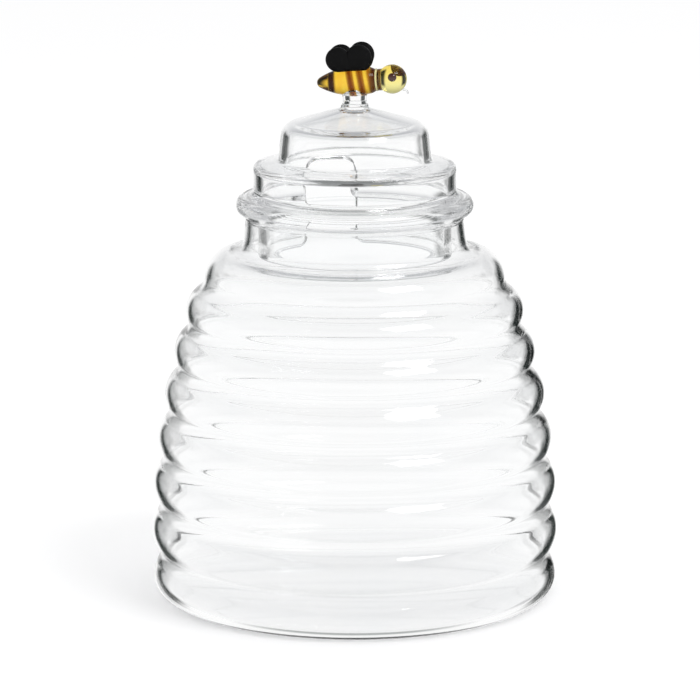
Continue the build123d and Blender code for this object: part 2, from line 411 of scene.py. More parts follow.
print("3 rows of 4 points have", len(grid_faces(3, 4, False)), "quads, closed",
      len(grid_faces(3, 4, True)))

# %% A piece from grids
merge_distance = 2e-7                  # metres


def make_piece(name, grids, material, body, nodes):
    """A named piece from one or more point grids: (points of rows x columns x 3 in millimetres, closed).
    Points that meet are merged, so poles and seams close."""
    points, quads, used = [], [], 0
    for grid, closed in grids:
        rows, columns = grid.shape[:2]
        points.append(grid.reshape(-1, 3) * mm)
        quads.append(grid_faces(rows, columns, closed) + used)
        used += rows * columns
    mesh = bpy.data.meshes.new(name)
    mesh.from_pydata(np.vstack(points).tolist(), [], np.vstack(quads).tolist())
    sewn = bmesh.new()
    sewn.from_mesh(mesh)
    bmesh.ops.remove_doubles(sewn, verts=sewn.verts, dist=merge_distance)
    open_edges = sum(1 for edge in sewn.edges if len(edge.link_faces) != 2)
    volume = sewn.calc_volume(signed=True) / mm**3
    for face in sewn.faces:
        face.smooth = True
    sewn.to_mesh(mesh)
    sewn.free()
    mesh.materials.append(material)
    piece = bpy.data.objects.new(name, mesh)
    bpy.context.scene.collection.objects.link(piece)
    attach(piece, body)
    if nodes:
        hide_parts(*nodes)
    print(name, len(mesh.polygons), "faces, open edges", open_edges, "volume", round(volume, 1), "mm3")
    return piece


print("points nearer than", round(merge_distance / mm, 6), "mm are merged")

# %% [markdown]
# ## Finishes
#
# Blown glass is never quite even. One shared group, `blown_unevenness`, gives every glass the slow
# swell left by the blowpipe and the faint threads in the melt. Its height feeds a Bump node and its
# streaks vary the colour, while the glass itself keeps a plain full transmission.

# %% Unevenness shared by all the glass
thread_stretch = 0.35                   # threads run this much longer upwards than across
thread_height = 0.03                    # of the swell's height

group = bpy.data.node_groups.new("blown_unevenness", "ShaderNodeTree")
for socket_name, usual in (("Swell Size", 12.0), ("Thread Size", 60.0)):
    socket = group.interface.new_socket(socket_name, in_out="INPUT", socket_type="NodeSocketFloat")
    socket.default_value = usual
for socket_name in ("Height", "Streaks"):
    group.interface.new_socket(socket_name, in_out="OUTPUT", socket_type="NodeSocketFloat")
entry = add_node(group, "NodeGroupInput")
leave = add_node(group, "NodeGroupOutput")
place = add_node(group, "ShaderNodeTexCoord")
slow_swell = add_node(group, "ShaderNodeTexNoise", Detail=1.0, Roughness=0.4)
group.links.new(place.outputs["Object"], slow_swell.inputs["Vector"])
group.links.new(entry.outputs["Swell Size"], slow_swell.inputs["Scale"])
flat_place = add_node(group, "ShaderNodeMapping", Scale=(1.0, 1.0, thread_stretch))
group.links.new(place.outputs["Object"], flat_place.inputs["Vector"])
thread = add_node(group, "ShaderNodeTexNoise", Detail=1.0, Roughness=0.4, Distortion=0.4)
group.links.new(flat_place.outputs["Vector"], thread.inputs["Vector"])
group.links.new(entry.outputs["Thread Size"], thread.inputs["Scale"])
low_threads = calculate(group, "MULTIPLY", thread.outputs["Fac"], thread_height)
group.links.new(calculate(group, "ADD", slow_swell.outputs["Fac"], low_threads), leave.inputs["Height"])
group.links.new(thread.outputs["Fac"], leave.inputs["Streaks"])
print("group", group.name)


# %% [markdown]
# Real glass needs no colour, but a very faint green in the streaks keeps it from looking like plastic.
# A lamp's light that bends through glass would take far too many rays to come out even, so for shadow
# rays alone the glass is a plain tinted film. A trace of roughness, the haze, blurs the far wall's
# lines a little, as slightly uneven glass does.

# %% Glass recipe


def glass(name, colour, streak_colour, swell_size, thread_size, depth, shadow, index=1.47, haze=0.0):
    """Clear or coloured glass: the colour runs to the streak colour along the threads, the unevenness
    bends the surface by the depth in millimetres, and lamps shine through with the shadow colour
    instead of caustics."""
    tree, material = new_tree(name)
    uneven = add_node(tree, "ShaderNodeGroup", {"node_tree": group})
    uneven.inputs["Swell Size"].default_value = swell_size
    uneven.inputs["Thread Size"].default_value = thread_size
    streaks = smooth_range(tree, uneven.outputs["Streaks"], 0.35, 0.7)
    tint = mix_colour(tree, streaks, colour, streak_colour)
    bump = add_node(tree, "ShaderNodeBump", Strength=1.0, Distance=depth * mm)
    tree.links.new(uneven.outputs["Height"], bump.inputs["Height"])
    shader = add_node(tree, "ShaderNodeBsdfPrincipled", Roughness=haze, IOR=index,
                      Transmission_Weight=1.0)
    tree.links.new(tint, shader.inputs["Base Color"])
    tree.links.new(bump.outputs[0], shader.inputs["Normal"])
    through = add_node(tree, "ShaderNodeBsdfTransparent", Color=(*shadow, 1))
    path = add_node(tree, "ShaderNodeLightPath")
    either = add_node(tree, "ShaderNodeMixShader")
    tree.links.new(path.outputs["Is Shadow Ray"], either.inputs[0])
    tree.links.new(shader.outputs[0], either.inputs[1])
    tree.links.new(through.outputs[0], either.inputs[2])
    output = add_node(tree, "ShaderNodeOutputMaterial")
    tree.links.new(either.outputs[0], output.inputs["Surface"])
    print("glass", name)
    return material


clear_colour = (0.997, 0.999, 0.999)
clear_shadow = (0.65, 0.65, 0.655)
jar_glass = glass("clear_jar_glass", clear_colour, (0.988, 0.993, 0.995), swell_size=14,
                  thread_size=40, depth=0.25, shadow=clear_shadow, haze=0.03)
lid_glass = glass("clear_lid_glass", clear_colour, (0.985, 0.991, 0.993), swell_size=30,
                  thread_size=90, depth=0.12, shadow=clear_shadow, haze=0.015)

# %% [markdown]
# ## The jar
#
# The mould gives the outside its stacked rings, and the breath inside follows them a wall's thickness
# behind, a little softer. The wall could be made with Solidify, but here the inner outline is drawn as
# well, because the softer inside, the pushed-up base and the round, fire-polished lip need more than
# an even wall. Light bends at both skins, so both matter to the look.

# %% Sizes of the jar
body_radius = 57.08
upright_height = 20.4                   # below this the rings are all as wide
shoulder_radius = 45.1
envelope_power = 1.93                   # above it they narrow by this power of the height
jar_wall = 2.0
body_wall = 1.5                         # blown thinner below the neck
foot_corner = 4.9
foot_inset = 0.4
foot_ring = 3.0                         # width of the flat that the jar stands on
punt_height = 2.0                       # the middle of the base is pushed up this far
first_groove = 11.2
ring_pitch = 13.95
pitch_loss = 0.52                       # each ring is this much lower than the one below
ring_count = 6
groove_depth = 3.8
groove_cut = 3.0                        # length of ring given to the round of a groove
shoulder_rise = 9.5
shoulder_bulge = 4.5
tier_radius = 28.2
lip_margin = 2.05                       # the lip stands this far outside the lid's tier
lip_radius = tier_radius + lip_margin
neck_taper = 1.25
neck_height = 10.85
neck_root_cut = 2.9

groove_heights = first_groove + np.concatenate(
    [[0], np.cumsum(ring_pitch - pitch_loss * np.arange(ring_count))])
last_groove = groove_heights[-1]
curved_share = np.maximum(groove_heights - upright_height, 0) / (last_groove - upright_height)
narrowing = (body_radius - shoulder_radius) * curved_share**envelope_power
groove_radii = body_radius - narrowing - groove_depth
grooves = np.column_stack([groove_radii, groove_heights])
foot_radius = body_radius - foot_inset
flat_outer = foot_radius - foot_corner
flat_inner = flat_outer - foot_ring
neck_root = (lip_radius + neck_taper, last_groove + shoulder_rise)
lip_height = neck_root[1] + neck_height
print("grooves at", groove_heights.round(2), "lip at", round(lip_height, 2))

# %% Outline of the jar


def quarter_rise(start, end):
    """Rise of the arc that leaves start upright and ends at end: its chord leans by half its turn."""
    across, up = end[0] - start[0], end[1] - start[1]
    half_turn = math.atan2(abs(across), up)
    return math.hypot(across, up) / 2 * math.tan(half_turn / 2)


foot_top = (foot_radius, foot_corner)
jar_runs = [
    arched((0, punt_height), (flat_inner, 0), -punt_height / 4, 40),
    straight((flat_inner, 0), (flat_outer, 0), 4),
    arched((flat_outer, 0), foot_top, foot_corner * (1 - math.sqrt(0.5)), 24),
    arched(foot_top, grooves[0], quarter_rise(foot_top, grooves[0]), 20)]
jar_runs += [arched(low, high, groove_depth, 36) for low, high in zip(grooves, grooves[1:])]
jar_runs += [arched(grooves[-1], neck_root, shoulder_bulge, 44),
             straight(neck_root, (lip_radius, lip_height - jar_wall / 2), 24)]
corner_cuts = [0, 0, 0] + [groove_cut] * (ring_count + 1) + [neck_root_cut]
jar_outside = rounded(jar_runs, corner_cuts, 11)
print("jar outside has", len(jar_outside), "points")

# %% The jar's skin
jar_columns = 120
inner_softness = 1.5                    # the breath rounds the inside off over this length
swell_terms = ((0.10, 2, 0.045, 0.4), (0.07, 3, -0.06, 2.1), (0.05, 5, 0.09, 4.0))
lip_even, foot_even = (2, 15), (6, 10)  # the swell fades towards lip and foot: from, and over

softened = smoothed(moved_in(jar_outside, body_wall), inner_softness)
apart = np.linalg.norm(softened[:, None] - jar_outside[None, ::2], axis=2).min(axis=1)
print("wall from", apart.min().round(2), "mm")
middle_of_base = (softened[:, 0] < flat_inner) & (softened[:, 1] < first_groove)
inner_wall = softened[~middle_of_base]
inner_crown = punt_height + inner_wall[0, 1]
base_run = arched((0, inner_crown), inner_wall[0], -(inner_crown - inner_wall[0, 1]) / 4, 24)
jar_inside = np.vstack([base_run[:-1], inner_wall])
lip_angle = np.linspace(0, np.pi, 13)[1:-1, None]
lip_middle = (jar_outside[-1] + jar_inside[-1]) / 2
lip = lip_middle + jar_wall / 2 * np.column_stack([np.cos(lip_angle), np.sin(lip_angle)])

outside_grid = turned(np.vstack([jar_outside, lip]), jar_columns)
inside_grid = turned(jar_inside[::-1], jar_columns)
azimuth = np.arctan2(inside_grid[..., 1], inside_grid[..., 0])
rise = inside_grid[..., 2]
uneven = sum(size * np.sin(lobes * azimuth + pull * rise + start)
             for size, lobes, pull, start in swell_terms)
uneven *= np.clip((lip_height - lip_even[0] - rise) / lip_even[1], 0, 1)
uneven *= np.clip((rise - foot_even[0]) / foot_even[1], 0, 1)
inside_grid[..., 0] += uneven * np.cos(azimuth)
inside_grid[..., 1] += uneven * np.sin(azimuth)
make_piece("jar", [(np.concatenate([outside_grid, inside_grid]), True)],
           jar_glass, "jar", ["hive_jar"])

# %% [markdown]
# ## The lid
#
# The lid's outside runs from the stem down over the cap, the dome and the tier, round the rolled bead
# that rests on the lip, and down the skirt. Its inside is drawn beside it point for point. The
# dipper notch is left open in both: rows of points that reach the notch stop at its side, and one
# rounded strip closes the whole edge, the way a flame rounds cut glass.

# %% Sizes of the lid
lid_wall = 2.2
seat_gap = 0.2
skirt_clearance = 1.4
skirt_depth = 13.0
bead_radius = 2.5
bead_overhang = 2.8
flange_rise = 7.35
tier_wall_rise = 6.45
tier_slope_rise = 1.25
dome_root_radius = 21.3
dome_wall_rise = 9.8
dome_radius = 20.3
cap_rise = 4.5
stem_seat_radius = 4.4

seat_height = lip_height + seat_gap
skirt_radius = lip_radius - jar_wall - skirt_clearance
bead_place = lip_radius + bead_overhang - bead_radius
bead_height = seat_height + bead_radius
crease_height = seat_height + flange_rise
tier_edge_height = crease_height + tier_wall_rise
dome_root_height = tier_edge_height + tier_slope_rise
dome_edge_height = dome_root_height + dome_wall_rise
cap_height = dome_edge_height + cap_rise
skirt_foot = seat_height - skirt_depth
print("cap at", round(cap_height, 2), "skirt foot at", round(skirt_foot, 2))

# %% Chains of straight runs


def corner_points(points, wall):
    """Corners of the line that runs beside a chain of straight runs at a wall's distance: each is
    where the two shifted neighbours cross."""
    points = np.array(points, float)
    along = np.diff(points, axis=0)
    along /= np.linalg.norm(along, axis=1)[:, None]
    beside = np.column_stack([along[:, 1], -along[:, 0]]) * -wall
    out = [points[0] + beside[0]]
    for index in range(1, len(points) - 1):
        sides = np.array([along[index - 1], along[index]]).T
        shift = (points[index] + beside[index]) - (points[index] + beside[index - 1])
        reach = np.linalg.solve(sides, shift)[0]
        out.append(points[index] + beside[index - 1] + along[index - 1] * reach)
    return np.array(out + [points[-1] + beside[-1]])


def chain(points, cuts, counts):
    """Straight runs through the points, with rounded corners."""
    runs = [straight(a, b, count) for a, b, count in zip(points, points[1:], counts)]
    return rounded(runs, cuts)


print("a square's inner corners", corner_points([(0, 0), (4, 0), (4, 4)], 1).tolist())

# %% Outside and inside of the lid, row by row
stem_foot_radius = 3.65
notch_width = 15.0
notch_rise = 12.4                      # above the seat
notch_corner = 4.0
edge_round = 0.6                       # how far the polished edge stands into the notch
foot_polish = 0.47 * lid_wall
foot_sweep = 2.0                       # round between the notch's side and the skirt's foot
seat_drop = 0.6                        # the round below the seat ends this far down
inner_notch_drop = 1.3                 # inside, the notch's top row stands this much lower
inner_crease_drop = 0.9
row_gap = 0.05                         # least step between the cap's last row and the notch's top
arch_rows, wall_rows, skirt_rows, sweep_rows = 11, 4, 12, 9

notch_top = seat_height + notch_rise
arch_end = notch_top - notch_corner
half_notch = notch_width / 2 + edge_round
foot_edge = skirt_foot + foot_polish
sweep_start = foot_edge + foot_sweep
seat_end = seat_height - seat_drop

slope_chain = [(stem_seat_radius, cap_height), (dome_radius, dome_edge_height),
               (dome_root_radius, dome_root_height), (tier_radius, tier_edge_height)]
outer_cuts, inner_cuts = [0.15, 3.1, 0.75, 1.15], [0.1, 1.7, 2.3, 0.3]
cap_line = chain([(stem_foot_radius, cap_height), *slope_chain, (tier_radius, arch_end)],
                 outer_cuts, [2, 16, 8, 8, 8])
cap_outside = cap_line[cap_line[:, 1] > notch_top + row_gap]

wall_chain = [(0, cap_height), *slope_chain, (tier_radius, seat_height + 2 * bead_radius),
              (skirt_radius, bead_height), (skirt_radius, foot_edge)]
inner_corners = corner_points(wall_chain, -lid_wall)
inner_cap_line = chain(inner_corners[:6], inner_cuts, [4, 16, 8, 8, 8])
inner_notch_top = notch_top - inner_notch_drop
cap_inside = inner_cap_line[inner_cap_line[:, 1] > inner_notch_top + row_gap]
inner_low_line = chain(inner_corners[4:], [1.3, 1.3], [30, 12, 40])

arch = np.linspace(0, np.pi / 2, arch_rows)
sweep = np.linspace(0, np.pi / 2, sweep_rows)
arch_heights = arch_end + notch_corner * np.cos(arch)
wall_heights = np.linspace(arch_end, crease_height, wall_rows)
skirt_heights = np.linspace(seat_end, sweep_start, skirt_rows)
sweep_heights = sweep_start - foot_sweep * np.sin(sweep)
print("notch from", round(notch_top, 2), "down, inside from", round(inner_notch_top, 2))

# %% Flange and rolled bead
flare_angle = np.linspace(0, np.pi / 2, 25)[:, None]
flare_radius = bead_place - tier_radius
flare = np.array([bead_place, crease_height]) - flare_radius * np.column_stack(
    [np.cos(flare_angle), np.sin(flare_angle)])
bead_angle = np.linspace(np.pi / 2, -np.pi / 2, 49)[:, None]
bead = np.array([bead_place, bead_height]) + bead_radius * np.column_stack(
    [np.cos(bead_angle), np.sin(bead_angle)])
seat = rounded([straight(bead[-1], (skirt_radius, seat_height), 6),
                straight((skirt_radius, seat_height), (skirt_radius, seat_end), 3)], [0.5])
bead_path = np.vstack([flare[:-1], bead[:-1], seat])
print("bead", 2 * bead_radius, "mm thick,", round(2 * (bead_place + bead_radius), 2), "mm across")

# %% Rows below the notch's top


def at_heights(outline, heights):
    """Points of a falling outline at the given heights."""
    return np.column_stack([np.interp(-heights, -outline[:, 1], outline[:, 0]), heights])


tier_corner = chain([*slope_chain[2:], (tier_radius, arch_end), (tier_radius, crease_height)],
                    [outer_cuts[3], 0], [8, 8, 8])
low_outside = np.vstack([
    at_heights(tier_corner, arch_heights[:-1]),
    at_heights(tier_corner, wall_heights[:-1]),
    bead_path[:-1],
    np.column_stack([np.full(skirt_rows - 1, skirt_radius), skirt_heights[:-1]]),
    np.column_stack([np.full(sweep_rows, skirt_radius), sweep_heights])])
row_count = len(low_outside)
bead_first = arch_rows - 1 + wall_rows - 1
bead_last = bead_first + len(bead_path) - 1
inner_crease = crease_height - inner_crease_drop
inner_heights = np.concatenate([
    np.interp(low_outside[:bead_first, 1], [crease_height, notch_top], [inner_crease, inner_notch_top]),
    np.linspace(inner_crease, seat_end, bead_last - bead_first, endpoint=False),
    low_outside[bead_last:, 1]])
low_inside = at_heights(inner_low_line, inner_heights)

half_width = np.full(row_count, half_notch)
half_width[:arch_rows] = half_notch - notch_corner * (1 - np.sin(arch))
half_width[-sweep_rows:] = half_notch + foot_sweep * (1 - np.cos(sweep))
into_notch = np.tile([1.0, 0.0], (row_count, 1))
into_notch[:arch_rows] = np.column_stack([np.sin(arch), np.cos(arch)])
into_notch[-sweep_rows:] = np.column_stack([np.cos(sweep), np.sin(sweep)])
print("lid rows", len(cap_outside), len(cap_inside), row_count)

# %% [markdown]
# The stem is melted onto the cap, so there is no surface between them. It belongs to the lid's own
# skin: the rows start in the middle of its top, run down its waist and go on over the cap. Its top is
# shaped to the bee's belly, a hair's breadth away.

# %% The bee's frame
stem_height = 3.6
belly_radius = 4.0
bee_turn = math.radians(8)
bee_pitch = math.radians(4)

bee_height = cap_height + stem_height + belly_radius
bee_middle = np.array([0, 0, bee_height])
bee_forward = np.array([math.cos(bee_pitch) * math.cos(bee_turn),
                        -math.cos(bee_pitch) * math.sin(bee_turn), math.sin(bee_pitch)])
bee_right = np.array([-math.sin(bee_turn), -math.cos(bee_turn), 0])
bee_up = np.cross(bee_right, bee_forward)
bee_axes = np.array([bee_forward, bee_up, bee_right])


def from_bee(points):
    """Points given along the bee's own axes (forward, up, right), in the jar's frame."""
    return bee_middle + np.asarray(points) @ bee_axes


def to_bee(points):
    """Points of the jar's frame along the bee's own axes."""
    return (np.asarray(points) - bee_middle) @ bee_axes.T


def arc_from(start, end, tangent, count=15):
    """The arc that leaves start along the tangent and ends at end. Its chord stands half its turn off
    the tangent, so its rise is half the chord times the tangent of a quarter of the turn."""
    chord = np.array(end, float) - np.array(start, float)
    turn = math.atan2(tangent[0] * chord[1] - tangent[1] * chord[0], np.dot(tangent, chord))
    return arched(start, end, np.linalg.norm(chord) / 2 * math.tan(turn / 2), count)


print("bee's axis at", round(bee_height, 2))

# %% Outline of the bee's body
tail_length = 10.5
tail_tip_radius = 1.6
tail_tip_angle = math.radians(30)
thorax_length = 3.2
thorax_drop = 0.15
waist_radius = 3.0
waist_place = 5.9

tip_end = (tail_tip_radius - tail_length - tail_tip_radius * math.sin(tail_tip_angle),
           tail_tip_radius * math.cos(tail_tip_angle))
tail_tip = arc_from((-tail_length, 0), tip_end, (0, 1), 10)
back = arc_from(tip_end, (0, belly_radius), (math.cos(tail_tip_angle), math.sin(tail_tip_angle)), 70)
thorax = arc_from((0, belly_radius), (thorax_length, belly_radius - thorax_drop), (1, 0), 24)
leaving = thorax[-1] - thorax[-2]
waist = arc_from(thorax[-1], (waist_place, waist_radius), leaving / np.linalg.norm(leaving), 22)
bee_outline = np.vstack([tail_tip[:-1], back[:-1], thorax[:-1], waist])
print("bee's body from", bee_outline[0].round(2), "to", bee_outline[-1].round(2))

# %% Rows round the lid
notch_azimuth = math.radians(106.5)     # straight behind is 90, the tail is at 180
lid_columns = 240
gap_columns = 8                         # these close the rings above the notch


def lid_angles(radius, half):
    """Angles of one row: evenly spread from one side of the notch round to the other."""
    side = np.arcsin(half / radius)[:, None]
    share = np.linspace(0, 1, lid_columns + 1)[None, :]
    return side + (2 * np.pi - 2 * side) * share


def ring_rows(outline, angle):
    """Rows of (radius, height) carried round through the given angles from the notch."""
    radius, height = outline[:, :1], outline[:, 1:]
    return np.stack([radius * np.cos(angle + notch_azimuth), radius * np.sin(angle + notch_azimuth),
                     height + 0 * angle], axis=-1)


def full_angles(radius, half):
    """Angles of a whole ring that match the row at the notch's top, and close over the notch."""
    side = math.asin(half / radius)
    over = np.linspace(2 * np.pi - side, 2 * np.pi + side, gap_columns + 1)[1:-1]
    return np.concatenate([lid_angles(np.array([radius]), np.array([half]))[0], over])


outer_low = ring_rows(low_outside, lid_angles(low_outside[:, 0], half_width))
inner_low = ring_rows(low_inside, lid_angles(low_inside[:, 0], half_width))
outer_ring = full_angles(low_outside[0, 0], half_width[0])
inner_ring = full_angles(low_inside[0, 0], half_width[0])
outer_cap = ring_rows(np.vstack([cap_outside, low_outside[:1]]), outer_ring)
inner_cap = ring_rows(np.vstack([cap_inside, low_inside[:1]]), inner_ring)
print("lid grids", outer_cap.shape, outer_low.shape, inner_cap.shape, inner_low.shape)

# %% Stem up to the bee's belly
stem_top_radius = 3.5
stem_waist_radius = 3.3
stem_foot_height = 0.9
stem_foot_bulge = 0.22                  # the foot swells where it melted onto the cap
belly_gap = 0.03
belly_edge = 0.2                        # least square of the belly's depth beside the stem

foot_share = (stem_foot_radius, stem_foot_height / stem_height)
stem_waist = (stem_top_radius + stem_foot_radius) / 2 - stem_waist_radius
stem_side = np.vstack([arched((stem_top_radius, 1), foot_share, stem_waist, 33)[:-1],
                       arched(foot_share, (stem_foot_radius, 0), -stem_foot_bulge, 9)])
stem_top = np.column_stack([np.linspace(0, stem_top_radius, 9)[:-1], np.ones(8)])
stem_rows = ring_rows(np.vstack([stem_top, stem_side]), outer_ring)
belly = stem_rows.copy()
belly[..., 2] = bee_height - belly_radius
for _ in range(6):
    local = to_bee(belly)
    radius = np.interp(local[..., 0], bee_outline[:, 0], bee_outline[:, 1]) + belly_gap
    belly[..., 2] += -np.sqrt(np.maximum(radius**2 - local[..., 2] ** 2, belly_edge)) - local[..., 1]
stem_rows[..., 2] = cap_height + stem_rows[..., 2] * (belly[..., 2] - cap_height)
print("stem from", round(cap_height, 2), "to", stem_rows[..., 2].max().round(2))

# %% [markdown]
# A cut in glass is never left sharp. The loop round the whole lower edge, down one side of the notch,
# along the skirt's foot, up the other side and over the arch, is joined from the outer to the inner
# skin by half an ellipse that leans into the opening.

# %% Polished edge of notch and skirt
edge_columns = 9

loop_outer = np.concatenate([outer_low[-1], outer_low[:-1, -1][::-1],
                             outer_cap[-1, lid_columns + 1:], outer_low[:-1, 0]])
loop_inner = np.concatenate([inner_low[-1], inner_low[:-1, -1][::-1],
                             inner_cap[-1, lid_columns + 1:], inner_low[:-1, 0]])
across = np.array([-math.sin(notch_azimuth), math.cos(notch_azimuth), 0])
down = np.array([0, 0, -1.0])
far_side = into_notch[:-1][::-1, :1] * across + into_notch[:-1][::-1, 1:] * down
near_side = -into_notch[:-1, :1] * across + into_notch[:-1, 1:] * down
lean = np.concatenate([np.tile(down, (lid_columns + 1, 1)), far_side,
                       np.tile(down, (gap_columns - 1, 1)), near_side])
depth = np.concatenate([np.full(lid_columns + 1, foot_polish), np.full(row_count - 1, edge_round),
                        np.full(gap_columns - 1, edge_round), np.full(row_count - 1, edge_round)])
depth[lid_columns + 1:][:sweep_rows] = np.linspace(foot_polish, edge_round, sweep_rows)
depth[-sweep_rows:] = np.linspace(edge_round, foot_polish, sweep_rows)
half_turn = np.linspace(0, np.pi, edge_columns)[:, None, None]
edge = ((loop_outer + loop_inner) / 2 - (loop_outer - loop_inner) / 2 * np.cos(half_turn)
        + lean * depth[:, None] * np.sin(half_turn))
outer_rows = np.concatenate([stem_rows, outer_cap])
make_piece("lid_with_stem", [(outer_rows[::-1], True), (outer_low[::-1], False), (inner_cap, True),
                             (inner_low, False), (edge, True)],
           lid_glass, "lid", ["lid", "finial_stem"])

# %% [markdown]
# ## The bee's body
#
# The body is a gather of amber glass drawn out to a tail with a brown ring and a brown tip. Behind
# the ring the tail's rim, above and below a bright core, is painted shade for the dark edges that
# refraction gives. Three darker threads were trailed round it aslant and melted in, so they stand only
# a hair proud. The threads could be rings of their own, but their edges would show. Here one surface
# of revolution about the bee's own axis carries both: the same band measure raises the surface and
# chooses the colour, so the colour stays on its ridge.

# %% Band measure
band_width = 1.35
band_pitch = 2.75
band_slant = math.radians(9)           # the bands lean with height
band_cast = math.radians(-6)           # and from one side of the bee to the other
band_proud = 0.12
band_count = 3
first_band = -1.1
band_soft = 0.5                        # half the width of a band's soft edge

band_half = band_width / math.cos(band_slant) / 2


def band_share(points):
    """1 on a band and 0 between: the distance along the body to the nearest band's slanted middle,
    eased over the band's soft edge."""
    along = points[..., 0] + points[..., 1] * math.tan(band_slant) - first_band
    along = along + points[..., 2] * math.tan(band_cast)
    nearest = np.clip(np.round(along / band_pitch), 0, band_count - 1) * band_pitch
    off = np.abs(along - nearest)
    share = np.clip((band_half + band_soft - off) / (2 * band_soft), 0, 1)
    return share * share * (3 - 2 * share)


print("bands at", [round(first_band + n * band_pitch, 2) for n in range(band_count)])

# %% Colours on the bee's own axes
bee_rotation = Matrix(bee_axes.T.tolist()).to_euler()


def bee_coordinates(tree):
    """Object coordinates turned into the bee's own millimetres: forward, up and right."""
    place = add_node(tree, "ShaderNodeTexCoord")
    frame_of_bee = add_node(tree, "ShaderNodeMapping", {"vector_type": "TEXTURE"},
                            Location=tuple(bee_middle * mm), Rotation=tuple(bee_rotation),
                            Scale=(mm, mm, mm))
    tree.links.new(place.outputs["Object"], frame_of_bee.inputs["Vector"])
    return frame_of_bee.outputs["Vector"]


def split_axes(tree, place):
    """The three parts of a position as sockets: forward, up and right."""
    parts = add_node(tree, "ShaderNodeSeparateXYZ")
    tree.links.new(place, parts.inputs[0])
    return parts.outputs


def noise(tree, place, scale, detail=2.0):
    """A cloudy measure between 0 and 1 that changes over the position."""
    cloud = add_node(tree, "ShaderNodeTexNoise", Scale=scale, Detail=detail)
    tree.links.new(place, cloud.inputs["Vector"])
    return cloud.outputs["Fac"]


def coloured_glass(name, paint, depth, shadow, index=1.47):
    """Coloured glass whose base colour is a socket that paint(tree, bee's coordinates) returns."""
    material = glass(name, (1, 1, 1), (1, 1, 1), swell_size=90, thread_size=220, depth=depth,
                     shadow=shadow, index=index)
    tree = material.node_tree
    shader = next(node for node in tree.nodes if node.type == "BSDF_PRINCIPLED")
    tree.links.new(paint(tree, bee_coordinates(tree)), shader.inputs["Base Color"])
    return material


print("bee's coordinates turned by", [round(math.degrees(turn), 1) for turn in bee_rotation])

# %% Colours of the body, and where they lie along it
amber = (0.99, 0.67, 0.065)
deep_amber = (0.94, 0.55, 0.045)
band_brown = (0.21, 0.046, 0.001)
# The end brown also paints the shade on the tail's rim.
end_brown_and_rim_shade = (0.035, 0.008, 0.001)
drift_scale, drift_span = 0.45, (0.35, 0.65)
shoulder_span = (3.9, 5.0)              # along the bee: the front runs to brown here
tail_ring, tail_ring_edge = -6.3, (0.5, 1.3)    # its place, and where it ends on both sides
painted_rim_span = (-7.4, -6.6)                # behind this the tail has a brown rim
painted_rim_heights = (0.6, 1.3)                  # behind this the tail's rim gets painted shade
tip_span = (-10.3, -9.6)
amber_index = 1.3                       # a little less than glass, to keep the small forms readable
print("amber from", painted_rim_span[0], "to", shoulder_span[1], "mm along the bee")

# %% Amber glass with bands


def paint_bands(tree, forward, up, right):
    """The band measure of band_share, worked out with nodes: 1 on a band and 0 between."""
    along = calculate(tree, "ADD", forward, calculate(
        tree, "ADD", calculate(tree, "MULTIPLY", up, math.tan(band_slant)),
        calculate(tree, "MULTIPLY", right, math.tan(band_cast))))
    along = calculate(tree, "SUBTRACT", along, first_band)
    count = calculate(tree, "ROUND", calculate(tree, "DIVIDE", along, band_pitch))
    count = calculate(tree, "MINIMUM", calculate(tree, "MAXIMUM", count, 0), band_count - 1)
    nearest = calculate(tree, "MULTIPLY", count, band_pitch)
    off = calculate(tree, "ABSOLUTE", calculate(tree, "SUBTRACT", along, nearest))
    return smooth_range(tree, off, band_half - band_soft, band_half + band_soft, 1, 0)


def paint_ends_and_rim_shade(tree, forward, up):
    """1 where the body is brown: its shoulder, a ring round the tail and its tip, and the tail's rim,
    where the brown is painted shade.
    """
    from_ring = calculate(tree, "ABSOLUTE", calculate(tree, "SUBTRACT", forward, tail_ring))
    ring = smooth_range(tree, from_ring, *tail_ring_edge, 1, 0)
    # The tail's rim, darker above and below its middle, is painted shade for the dark edges that
    # refraction gives.
    painted_rim_shade = smooth_range(tree, calculate(tree, "ABSOLUTE", up), *painted_rim_heights)
    painted_rim_shade = calculate(tree, "MULTIPLY", painted_rim_shade, smooth_range(tree, forward, *painted_rim_span, 1, 0))
    tip = smooth_range(tree, forward, *tip_span, 1, 0)
    ends = smooth_range(tree, forward, *shoulder_span)
    for more in (ring, painted_rim_shade, tip):
        ends = calculate(tree, "MAXIMUM", ends, more)
    return ends


def paint_body(tree, place):
    """Amber that drifts a little, darker on the bands and towards both ends, with painted shade on the
    tail's rim.
    """
    forward, up, right = split_axes(tree, place)
    drift = smooth_range(tree, noise(tree, place, drift_scale), *drift_span)
    warm = mix_colour(tree, drift, amber, deep_amber)
    banded = mix_colour(tree, paint_bands(tree, forward, up, right), warm, band_brown)
    return mix_colour(tree, paint_ends_and_rim_shade(tree, forward, up), banded, end_brown_and_rim_shade)


body_glass = coloured_glass("banded_amber_glass_with_rim_shade", paint_body, 0.02, (0.75, 0.5, 0.15), amber_index)

# %% The body's skin
bee_columns = 144
body_rows = 260
front_round = 0.25

front_edge = rounded([bee_outline, straight(bee_outline[-1], (waist_place, 0), 12)], [front_round], 6)
steps = np.concatenate([[0], np.cumsum(np.linalg.norm(np.diff(front_edge, axis=0), axis=1))])
spread = np.linspace(0, steps[-1], body_rows)
body_line = np.column_stack([np.interp(spread, steps, front_edge[:, axis]) for axis in (0, 1)])
body_line[-1, 1] = 0


def turned_bee(line):
    """A grid from a line of (place along the bee, radius) carried round the bee's axis."""
    angle = np.linspace(0, 2 * np.pi, bee_columns, endpoint=False)
    along, radius = line[:, :1], line[:, 1:]
    return np.stack([along + 0 * angle, radius * np.cos(angle), radius * np.sin(angle)], axis=-1)


